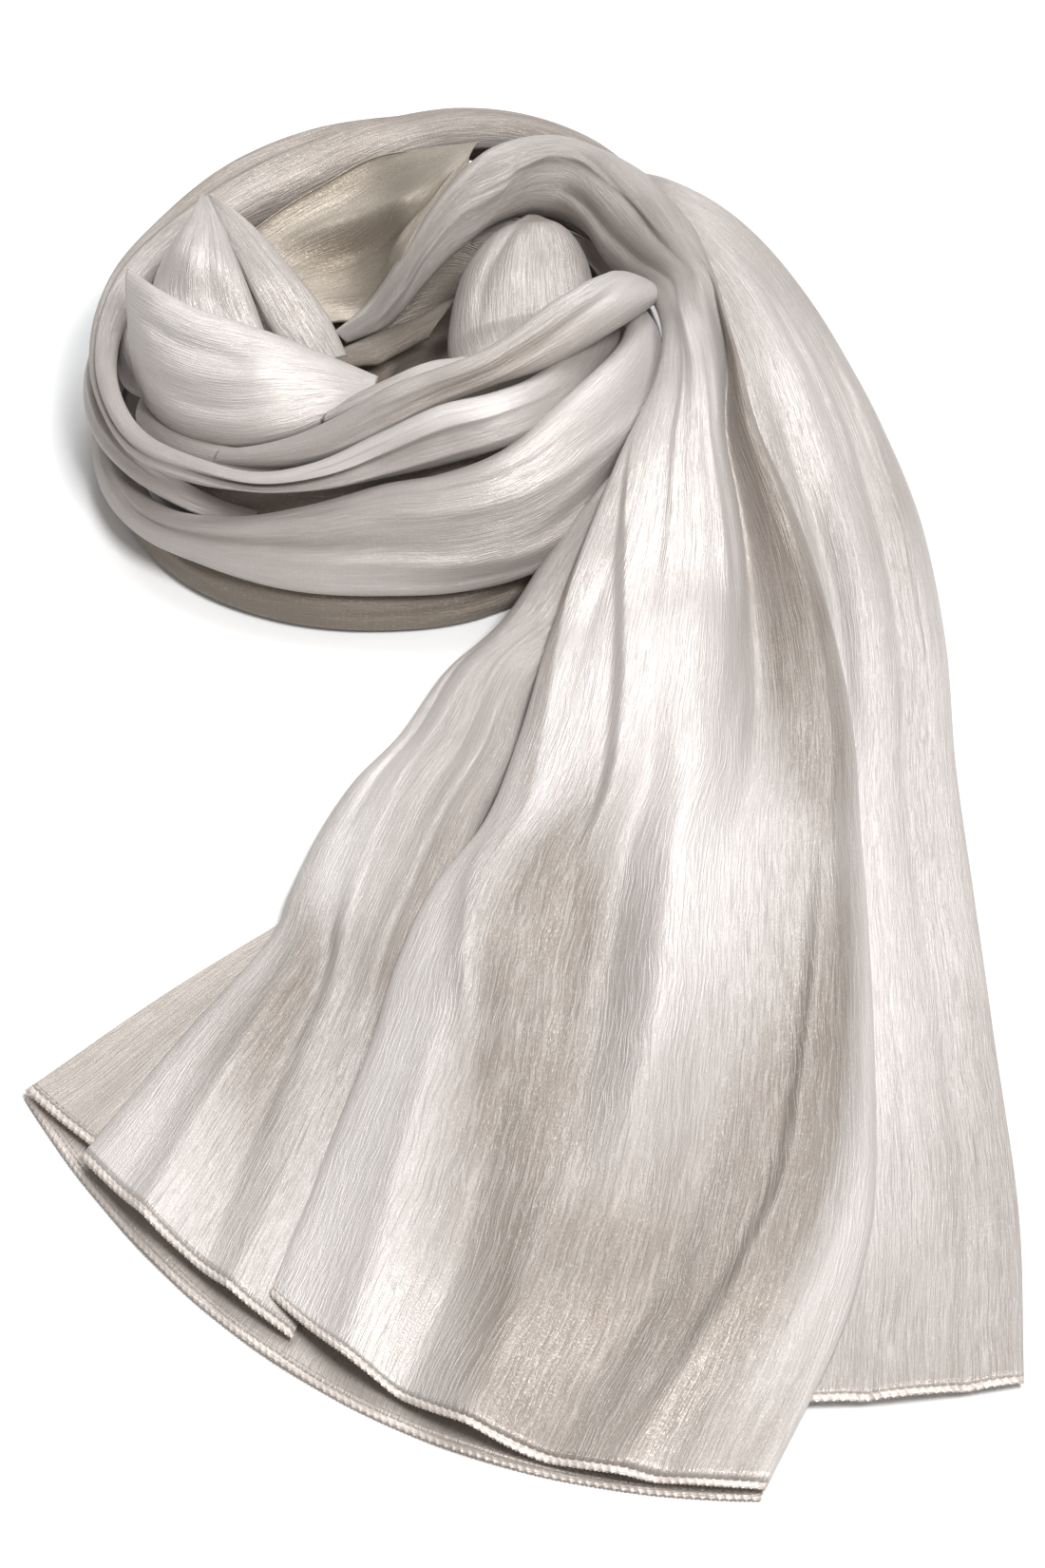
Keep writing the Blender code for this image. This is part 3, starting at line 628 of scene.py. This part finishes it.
def organza(name, dark, pale, glint, glints=1.0, sheer=0.2):
    """Crinkled organza: creases, crinkle and threads drawn out along the cloth, and sparse metal glints.

    Colour goes from dark to pale with the crinkle, a slow cloudiness and an attribute of painted light and
    shade, which paints shade into the folds' troughs and light onto their ridges; thin pale lines along the
    crinkle are a painted highlight; glints are short bright dashes that gather in patches, painted into the
    colour as well as made more metallic.
    """
    material = bpy.data.materials.new(name)
    material.use_nodes = True
    tree = material.node_tree
    shader = tree.nodes["Principled BSDF"]
    cloth = node(tree, "UVMap", uv_map="Cloth")
    own = node(tree, "TexCoord")
    drift = node(tree, "TexNoise", detail=3.0)
    drift.inputs["Scale"].default_value = 22.0
    tree.links.new(own.outputs["Object"], drift.inputs["Vector"])
    wander = node(tree, "VectorMath", operation="MULTIPLY_ADD")
    wander.inputs[1].default_value = WANDER
    tree.links.new(drift.outputs["Color"], wander.inputs[0])
    tree.links.new(cloth.outputs["UV"], wander.inputs[2])
    place = wander.outputs["Vector"]
    read = {kind: threads(tree, place, *counts) for kind, counts in WEAVE.items()}
    long_line = hairline(tree, threads(tree, place, *LONG_LINE), 0.055)
    short_line = hairline(tree, threads(tree, place, *SHORT_LINE), 0.060)
    read["line"] = math(tree, "MAXIMUM", long_line, math(tree, "MULTIPLY", short_line, 0.6))
    height = weighted(tree, read, RELIEF)
    shine = math(tree, "MULTIPLY", between(tree, read["dashes"], 0.58, 0.68),
                 between(tree, read["spread"], 0.35, 0.75, 0.06, 0.36 * glints))
    shade = between(tree, weighted(tree, read, CLOUDING), 0.36, 0.64)
    # painted light and shade, from the piece's attribute, lifts or lowers the tone between dark and pale
    painted_light_and_shade = node(tree, "Attribute", attribute_name="painted_light_and_shade")
    shade = math(tree, "ADD", math(tree, "MULTIPLY", shade, 0.24),
                 math(tree, "ADD", math(tree, "MULTIPLY", painted_light_and_shade.outputs["Fac"], 0.40), 0.38))
    tone = blended(tree, shade, dark, pale)
    # pale hairlines: a painted highlight along the crinkle's thin lines, which are also in the bump
    tone = blended(tree, math(tree, "MULTIPLY", read["line"], 0.20), tone, pale)
    # glints: dashes of metal thread, made more metallic and also painted bright into the colour as a painted
    # glint
    tone = blended(tree, shine, tone, glint)
    tree.links.new(tone, shader.inputs["Base Color"])
    metal = math(tree, "ADD", math(tree, "MULTIPLY", shine, 0.5),
                 between(tree, read["grain"], 0.35, 0.7, 0.36, 0.62))
    tree.links.new(metal, shader.inputs["Metallic"])
    tree.links.new(between(tree, read["grain"], 0.3, 0.7, 0.54, 0.40), shader.inputs["Roughness"])
    shader.inputs["Anisotropic"].default_value = 0.4
    shader.inputs["Sheen Weight"].default_value = 0.15
    shader.inputs["Sheen Roughness"].default_value = 0.4
    bump = node(tree, "Bump", strength=BUMP, distance=BUMP_HIGH)
    tree.links.new(height, bump.inputs["Height"])
    tree.links.new(bump.outputs["Normal"], shader.inputs["Normal"])
    grain = node(tree, "Tangent", direction_type="UV_MAP", uv_map="Cloth")
    tree.links.new(grain.outputs["Tangent"], shader.inputs["Tangent"])
    through_light = node(tree, "BsdfTranslucent")
    tree.links.new(tone, through_light.inputs["Color"])
    mix = node(tree, "MixShader")
    mix.inputs[0].default_value = sheer
    tree.links.new(shader.outputs["BSDF"], mix.inputs[1])
    tree.links.new(through_light.outputs["BSDF"], mix.inputs[2])
    tree.links.new(mix.outputs["Shader"], tree.nodes["Material Output"].inputs["Surface"])
    return material


# ---- the stage -------------------------------------------------------------------------------------------
def floor():
    """Plain pale floor."""
    mesh = bpy.data.meshes.new("floor")
    size = 6.0
    corners = [(-size, -size, 0), (size, -size, 0), (size, size, 0), (-size, size, 0)]
    mesh.from_pydata(corners, [], [(0, 1, 2, 3)])
    item = bpy.data.objects.new("floor", mesh)
    bpy.context.scene.collection.objects.link(item)
    material = bpy.data.materials.new("white_floor")
    material.use_nodes = True
    shader = material.node_tree.nodes["Principled BSDF"]
    shader.inputs["Base Color"].default_value = (0.93, 0.93, 0.93, 1)
    shader.inputs["Roughness"].default_value = 0.9
    shader.inputs["Specular IOR Level"].default_value = 0.0
    mesh.materials.append(material)


def area_light(name, place, aim, size, power, colour=(1, 1, 1)):
    """Square soft light at a place, turned to a point."""
    light = bpy.data.lights.new(name, "AREA")
    light.size = size
    light.energy = power
    light.color = colour
    item = bpy.data.objects.new(name, light)
    bpy.context.scene.collection.objects.link(item)
    item.location = place
    item.rotation_euler = (Vector(aim) - Vector(place)).to_track_quat("-Z", "Y").to_euler()


def camera():
    """Camera 1.7 m away, 50 degrees above the floor."""
    lens = bpy.data.cameras.new("camera")
    lens.sensor_fit = "VERTICAL"
    lens.angle = np.radians(22.0)
    item = bpy.data.objects.new("camera", lens)
    bpy.context.scene.collection.objects.link(item)
    target = Vector((PLACE[0] * MM, PLACE[1] * MM, 0.03))
    rise = np.radians(50.0)
    item.location = target + 1.70 * Vector((0, -np.cos(rise), np.sin(rise)))
    item.rotation_euler = (target - item.location).to_track_quat("-Z", "Y").to_euler()
    bpy.context.scene.camera = item


# ---- every stretch ---------------------------------------------------------------------------------------
# Columns: name, kind of table, table, grid (along, across), lips (radians), width that the weave is drawn for
# (mm, more than the surface's own, as the cloth is gathered), nodes, finish (copy of the organza; 'deep',
# 'under' and 'hidden' are painted darker as painted shade, 'single' is painted paler as painted light), hems.
STRETCHES = (
    ("arch_and_tail", "sheet", ARCH[:-1] + TAIL_MAIN, (300, 130), (0.5, 0.25), 230, ("arch", "tail_main"),
     "lit", ("hem_main",)),
    ("tail_right", "sheet", TAIL_RIGHT, (220, 80), (0.2, 0.2), 150, ("tail_right",), "lit", ("hem_right",)),
    ("tail_left", "sheet", TAIL_LEFT, (210, 80), (0.3, 0.2), 160, ("tail_left",), "lit", ("hem_left",)),
    ("tail_corner", "sheet", TAIL_CORNER, (60, 50), (0.0, 0.0), 90, ("tail_corner",), "single",
     ("hem_corner",)),
    ("tail_under", "sheet", TAIL_UNDER, (120, 110), (0.0, 0.0), 330, ("tail_under",), "single",
     ("hem_under",)),
    ("outer_turn", "turn", OUTER_TURN, (220, 36), (0.6, 0.6), 100, ("outer_turn",), "lit", ()),
    ("wide_turn", "turn", WIDE_TURN, (260, 80), (0.6, 0.6), 160, ("wide_turn",), "lit", ()),
    ("upper_turn", "turn", UPPER_TURN, (320, 70), (0.6, 0.6), 130, ("upper_turn",), "lit", ()),
    ("inner_roll", "turn", INNER_ROLL, (180, 50), (0.8, 0.8), 90, ("inner_roll",), "lit", ()),
    ("rim_fold", "turn", RIM_FOLD, (60, 24), (0.6, 0.6), 50, ("rim_fold",), "lit", ()),
    ("peak_b", "sheet", PEAK_B, (130, 70), (0.6, 0.2), 120, ("peak_b",), "lit", ()),
    ("peak_a", "sheet", PEAK_A, (100, 60), (0.3, 0.3), 90, ("peak_a",), "lit", ()),
    ("peak_strip", "sheet", PEAK_STRIP, (80, 30), (0.2, 0.2), 50, ("peak_strip",), "lit", ()),
    ("small_roll", "turn", SMALL_ROLL, (80, 30), (0.8, 0.8), 60, ("small_roll",), "lit", ()),
    ("side_roll", "turn", SIDE_ROLL, (60, 30), (0.8, 0.8), 60, ("side_roll",), "lit", ()),
    ("base_turn", "turn", BASE_TURN, (260, 30), (0.2, 0.6), 80, ("base_turn",), "under", ()),
    ("dome", "sheet", DOME, (110, 70), (0.5, 0.5), 130, ("dome",), "lit", ()),
    ("back_drape", "turn", BACK_DRAPE, (130, 70), (0.2, 0.2), 110, ("back_drape",), "deep", ()),
    ("hood", "turn", HOOD, (90, 30), (0.2, 0.2), 60, ("hood",), "lit", ()),
    ("pit_cloth", "turn", PIT_CLOTH, (60, 36), (0.2, 0.2), 80, ("pit_cloth",), "under", ()),
)

# Columns: place across where the fold starts, half way and where it ends, start and end along the stretch,
# height in mm (a trough is below nought), width to the left and to the right.  Places and widths are shares of
# the stretch, and a fold that runs off an edge or an end goes below 0 or past 1.
FOLDS = {
    "arch_and_tail": (
        (0.00, 0.26, 0.36, 0.51, 0.80, 7.5, 0.013, 0.160),
        (0.46, 0.50, 0.48, 0.38, 0.82, 8.5, 0.150, 0.130),
        (0.98, 0.77, 0.71, 0.36, 0.80, -14.0, 0.060, 0.110),
        (0.98, 0.80, 0.65, 0.39, 0.70, -7.0, 0.014, 0.060),
        (0.97, 0.93, 0.94, 0.46, 0.92, 5.4, 0.050, 0.030),
        (0.40, 0.44, 0.42, 0.67, 0.90, -7.4, 0.070, 0.070),
        (0.55, 0.57, 0.52, 0.69, 0.93, 5.4, 0.060, 0.090),
        (0.92, 0.84, 0.72, 0.75, 1.02, 6.8, 0.018, 0.120),
        (0.72, 0.66, 0.58, 0.81, 1.05, -6.8, 0.090, 0.070),
        (0.10, 0.15, 0.20, 0.75, 1.05, 6.8, 0.070, 0.080),
        (0.02, 0.13, 0.26, 0.70, 0.89, 4.7, 0.030, 0.070),
        (0.26, 0.30, 0.33, 0.77, 1.10, -4.7, 0.050, 0.060),
        (0.42, 0.46, 0.46, 0.86, 1.14, 4.1, 0.060, 0.060),
        (0.18, 0.14, 0.10, 0.52, 0.71, -2.7, 0.030, 0.040),
        (0.36, 0.37, 0.40, 0.48, 0.67, 1.9, 0.020, 0.020),
        (0.58, 0.60, 0.63, 0.46, 0.65, 2.2, 0.020, 0.030),
        (0.66, 0.65, 0.62, 0.54, 0.75, -1.9, 0.020, 0.030),
        (0.30, 0.45, 0.60, 0.02, 0.23, 3.0, 0.100, 0.100),
        (0.60, 0.70, 0.85, 0.11, 0.42, 2.5, 0.040, 0.120),
        (0.25, 0.35, 0.50, 0.23, 0.48, -3.0, 0.080, 0.100),
        (0.80, 0.75, 0.70, 0.23, 0.44, -2.0, 0.050, 0.050),
        (0.85, 0.80, 0.76, 0.89, 1.19, -3.4, 0.040, 0.050),
    ),
    "tail_right": (
        (0.50, 0.45, 0.52, 0.12, 0.72, 4.5, 0.16, 0.14),
        (0.22, 0.28, 0.30, 0.25, 0.78, -4.0, 0.08, 0.08),
        (0.86, 0.84, 0.90, 0.30, 0.74, 3.0, 0.02, 0.10),
        (0.70, 0.68, 0.72, 0.36, 0.86, -2.6, 0.06, 0.06),
        (0.45, 0.52, 0.55, 0.62, 1.05, 2.2, 0.05, 0.08),
        (0.72, 0.76, 0.78, 0.70, 1.15, -1.8, 0.05, 0.07),
        (0.35, 0.36, 0.38, 0.76, 1.15, -1.6, 0.05, 0.05),
        (0.60, 0.62, 0.66, 0.20, 0.50, 1.6, 0.03, 0.04),
    ),
    "tail_left": (
        (0.30, 0.40, 0.55, 0.34, 0.92, 5.0, 0.13, 0.09),
        (0.78, 0.70, 0.80, 0.32, 0.95, -6.0, 0.09, 0.09),
        (0.35, 0.45, 0.64, 0.70, 1.04, -3.5, 0.07, 0.07),
        (0.20, 0.30, 0.45, 0.74, 1.20, 3.5, 0.08, 0.08),
        (0.10, 0.16, 0.20, 0.30, 0.70, -2.0, 0.04, 0.05),
        (0.55, 0.56, 0.60, 0.20, 0.60, 1.8, 0.03, 0.05),
        (0.75, 0.72, 0.70, 0.85, 1.20, 2.5, 0.05, 0.06),
    ),
    "tail_corner": (
        (0.30, 0.35, 0.40, 0.20, 1.10, 1.4, 0.10, 0.12),
        (0.65, 0.60, 0.60, 0.30, 1.10, -1.0, 0.10, 0.10),
    ),
    "tail_under": (
        (0.20, 0.22, 0.24, 0.40, 1.15, 1.5, 0.04, 0.05),
        (0.45, 0.44, 0.44, 0.40, 1.15, 1.2, 0.05, 0.05),
        (0.70, 0.68, 0.68, 0.40, 1.15, 1.5, 0.05, 0.05),
    ),
    "wide_turn": (
        (0.85, 0.55, 0.40, 0.10, 0.60, -3.0, 0.08, 0.10),
        (0.50, 0.30, 0.22, 0.20, 0.80, 1.6, 0.07, 0.10),
        (0.75, 0.72, 0.55, 0.38, 0.90, 2.0, 0.10, 0.05),
        (0.30, 0.45, 0.62, 0.55, 0.98, -2.0, 0.08, 0.06),
        (0.92, 0.90, 0.86, 0.30, 0.75, -1.5, 0.04, 0.03),
        (0.15, 0.12, 0.16, 0.30, 0.85, -1.5, 0.06, 0.06),
        (0.45, 0.62, 0.78, 0.60, 0.96, 1.4, 0.03, 0.05),
    ),
    "outer_turn": (
        (0.50, 0.55, 0.60, 0.05, 0.60, -2.0, 0.12, 0.12),
        (0.40, 0.50, 0.60, 0.50, 0.98, 1.4, 0.10, 0.10),
        (0.75, 0.70, 0.75, 0.45, 0.90, -1.2, 0.06, 0.06),
    ),
    "upper_turn": (
        (0.50, 0.55, 0.62, 0.55, 0.83, -4.0, 0.09, 0.07),
        (0.72, 0.76, 0.72, 0.57, 0.89, 2.4, 0.05, 0.08),
        (0.30, 0.26, 0.30, 0.50, 0.88, 2.0, 0.08, 0.08),
        (0.88, 0.86, 0.84, 0.63, 0.86, -1.6, 0.03, 0.04),
        (0.55, 0.50, 0.45, 0.12, 0.42, -3.0, 0.10, 0.10),
        (0.75, 0.70, 0.60, 0.17, 0.50, 2.0, 0.06, 0.08),
        (0.30, 0.30, 0.35, 0.19, 0.47, 1.6, 0.06, 0.08),
        (0.50, 0.45, 0.50, 0.39, 0.60, -1.8, 0.08, 0.08),
    ),
    "inner_roll": (
        (0.35, 0.45, 0.55, 0.20, 0.95, -2.6, 0.07, 0.06),
        (0.70, 0.70, 0.66, 0.15, 0.80, 1.5, 0.05, 0.08),
        (0.80, 0.78, 0.85, 0.50, 0.98, -1.4, 0.04, 0.04),
        (0.22, 0.20, 0.24, 0.10, 0.70, 1.0, 0.05, 0.06),
    ),
    "peak_b": (
        (0.35, 0.45, 0.50, 0.10, 0.80, 2.0, 0.06, 0.14),
        (0.25, 0.25, 0.35, 0.20, 0.90, -1.6, 0.06, 0.06),
        (0.70, 0.66, 0.62, 0.05, 0.60, -1.4, 0.08, 0.06),
    ),
    "peak_a": (
        (0.30, 0.40, 0.50, 0.05, 0.80, -0.8, 0.10, 0.12),
        (0.70, 0.65, 0.60, 0.10, 0.80, 0.8, 0.12, 0.08),
    ),
    "dome": (
        (0.25, 0.30, 0.42, 0.19, 0.87, -1.6, 0.05, 0.07),
        (0.55, 0.56, 0.52, 0.23, 0.91, 1.4, 0.10, 0.08),
        (0.78, 0.74, 0.62, 0.23, 0.83, -1.5, 0.05, 0.05),
    ),
    "back_drape": (
        (0.80, 0.66, 0.36, 0.05, 0.85, 7.0, 0.12, 0.07),
        (0.50, 0.46, 0.30, 0.10, 0.95, -7.0, 0.09, 0.10),
        (0.24, 0.22, 0.25, 0.10, 0.80, 4.0, 0.08, 0.06),
        (0.88, 0.85, 0.80, 0.20, 0.90, -2.0, 0.05, 0.05),
    ),
    "base_turn": (
        (0.50, 0.60, 0.50, 0.30, 0.80, 1.2, 0.12, 0.10),
        (0.40, 0.45, 0.60, 0.65, 0.98, -1.5, 0.10, 0.10),
    ),
}

# Columns as for the folds.  These bands only change the tone, not the shape: painted shade where the height is
# below nought and painted light where it is above.
PAINTED_SHADE_AND_LIGHT = {
    "arch_and_tail": (
        (0.40, 0.47, 0.55, 0.68, 1.06, -9.0, 0.08, 0.08),
        (0.82, 0.76, 0.62, 0.76, 1.02, -9.0, 0.13, 0.02),
        (0.95, 0.77, 0.80, 0.38, 0.84, -12.0, 0.05, 0.09),
        (0.10, 0.12, 0.15, 0.68, 1.02, -5.0, 0.06, 0.06),
        (0.60, 0.60, 0.60, 0.00, 0.52, -4.0, 0.40, 0.40),
        (0.99, 0.81, 0.66, 0.39, 0.71, -14.0, 0.016, 0.06),
        (-0.03, 0.23, 0.34, 0.51, 0.80, -9.0, 0.06, 0.012),
        (0.46, 0.54, 0.60, 0.52, 0.88, 4.0, 0.08, 0.10),
        (0.50, 0.48, 0.45, 0.42, 0.66, 2.0, 0.12, 0.08),
        (0.20, 0.28, 0.34, 0.68, 1.10, 14.0, 0.08, 0.08),
        (0.26, 0.27, 0.26, 0.56, 0.80, 5.0, 0.07, 0.05),
        (0.95, 0.97, 0.97, 0.70, 1.04, 14.0, 0.08, 0.10),
        (0.60, 0.75, 0.80, 0.88, 1.15, -3.0, 0.12, 0.10),
    ),
    "tail_right": (
        (0.50, 0.54, 0.60, 0.22, 0.56, 3.0, 0.12, 0.12),
        (0.34, 0.34, 0.36, 0.52, 1.00, 14.0, 0.12, 0.14),
        (0.72, 0.72, 0.74, 0.50, 0.88, 6.0, 0.12, 0.20),
        (0.85, 0.90, 0.92, 0.20, 0.62, -5.0, 0.10, 0.10),
        (0.50, 0.50, 0.50, 0.80, 1.30, -3.0, 0.50, 0.50),
    ),
    "tail_left": (
        (0.34, 0.36, 0.40, 0.48, 0.84, 6.0, 0.12, 0.10),
        (0.45, 0.42, 0.45, 0.70, 0.97, -6.0, 0.20, 0.20),
        (0.30, 0.42, 0.60, 0.88, 1.20, 4.0, 0.30, 0.30),
        (0.85, 0.87, 0.82, 0.50, 0.96, -5.0, 0.10, 0.10),
    ),
    "upper_turn": (
        (0.60, 0.60, 0.60, -0.32, 0.52, -9.0, 0.60, 0.60),
        (0.74, 0.76, 0.76, 0.60, 0.91, 10.0, 0.22, 0.22),
    ),
    "wide_turn": (
        (0.80, 0.80, 0.80, 0.62, 1.30, 12.0, 0.35, 0.25),
        (0.50, 0.45, 0.40, 0.10, 0.60, 3.0, 0.20, 0.20),
    ),
    "inner_roll": (
        (0.50, 0.50, 0.50, 0.20, 0.74, -5.0, 0.50, 0.50),
        (0.50, 0.50, 0.50, 0.66, 1.40, 12.0, 0.50, 0.50),
    ),
    "tail_corner": ((0.50, 0.50, 0.50, -0.50, 1.50, -6.0, 0.60, 0.60),),
    "tail_under": ((0.50, 0.50, 0.50, -0.50, 1.50, 1.0, 0.60, 0.60),),
    "back_drape": (
        (0.90, 0.75, 0.60, 0.30, 1.10, 6.0, 0.12, 0.10),
        (0.50, 0.40, 0.30, 0.00, 1.00, -6.0, 0.14, 0.14),
    ),
    "peak_a": ((0.50, 0.50, 0.50, -0.50, 1.50, 6.0, 0.60, 0.60),),
    "peak_b": ((0.60, 0.60, 0.60, -0.50, 1.50, 5.0, 0.50, 0.50),),
    "dome": ((0.50, 0.50, 0.50, -0.29, 1.43, -3.0, 0.60, 0.60),),
    "outer_turn": ((0.50, 0.50, 0.50, -0.50, 0.60, -6.0, 0.60, 0.60),),
}

floor()
camera()
area_light("back", (0.15, 1.15, 1.60), (0, -0.05, 0), 1.2, 24, (0.94, 0.97, 1.0))
area_light("key", (0.55, -0.60, 1.68), (0, 0.02, 0), 0.6, 31)
world = bpy.data.worlds.new("studio")
bpy.context.scene.world = world
world.use_nodes = True
world.node_tree.nodes["Background"].inputs["Color"].default_value = (1.0, 0.97, 0.94, 1)
world.node_tree.nodes["Background"].inputs["Strength"].default_value = 0.32
bpy.context.scene.view_settings.view_transform = "Standard"

# Colours of the painted glints on the metal threads.
WARM = (1.0, 0.96, 0.88)
GOLD = (1.0, 0.93, 0.78)
# Columns: material's name, dark, pale and glint colours, strength of the glints, share of light let through.
# 'deep', 'under' and 'hidden' are darker copies of the organza, painted shade for the hollow's back wall, the
# lowest turn and pit under the overhang, and the hidden layers; 'single' is a paler copy for the single layers
# at the fanned end, painted light against the shade of the sheets above, and lets more light through.
FINISHES = {
    "lit": organza("crinkled_organza", (0.305, 0.256, 0.218), (0.79, 0.745, 0.72), WARM, 1.0, 0.18),
    "deep": organza("organza_in_shade", (0.33, 0.275, 0.22), (0.54, 0.48, 0.41), GOLD, 1.6, 0.18),
    "under": organza("organza_painted_shade_underneath", (0.17, 0.14, 0.11), (0.30, 0.255, 0.215), GOLD, 1.0, 0.1),
    "hidden": organza("organza_painted_shade_inside", (0.23, 0.19, 0.155), (0.38, 0.33, 0.285), GOLD, 1.0, 0.1),
    "single": organza("single_organza_painted_light", (0.55, 0.49, 0.44), (0.78, 0.73, 0.69), WARM, 0.6, 0.40),
}
hem_finish = organza("rolled_hem", (0.52, 0.455, 0.405), (0.70, 0.635, 0.59), (1.0, 0.96, 0.90), 1.0, 0.05)
for name, kind, rows, counts, lips, width, nodes, finish, hems in STRETCHES:
    stretch(name, kind, rows, FOLDS.get(name, ()), counts, lips, width, nodes, FINISHES[finish], hems)
core_cloth(FINISHES["hidden"])
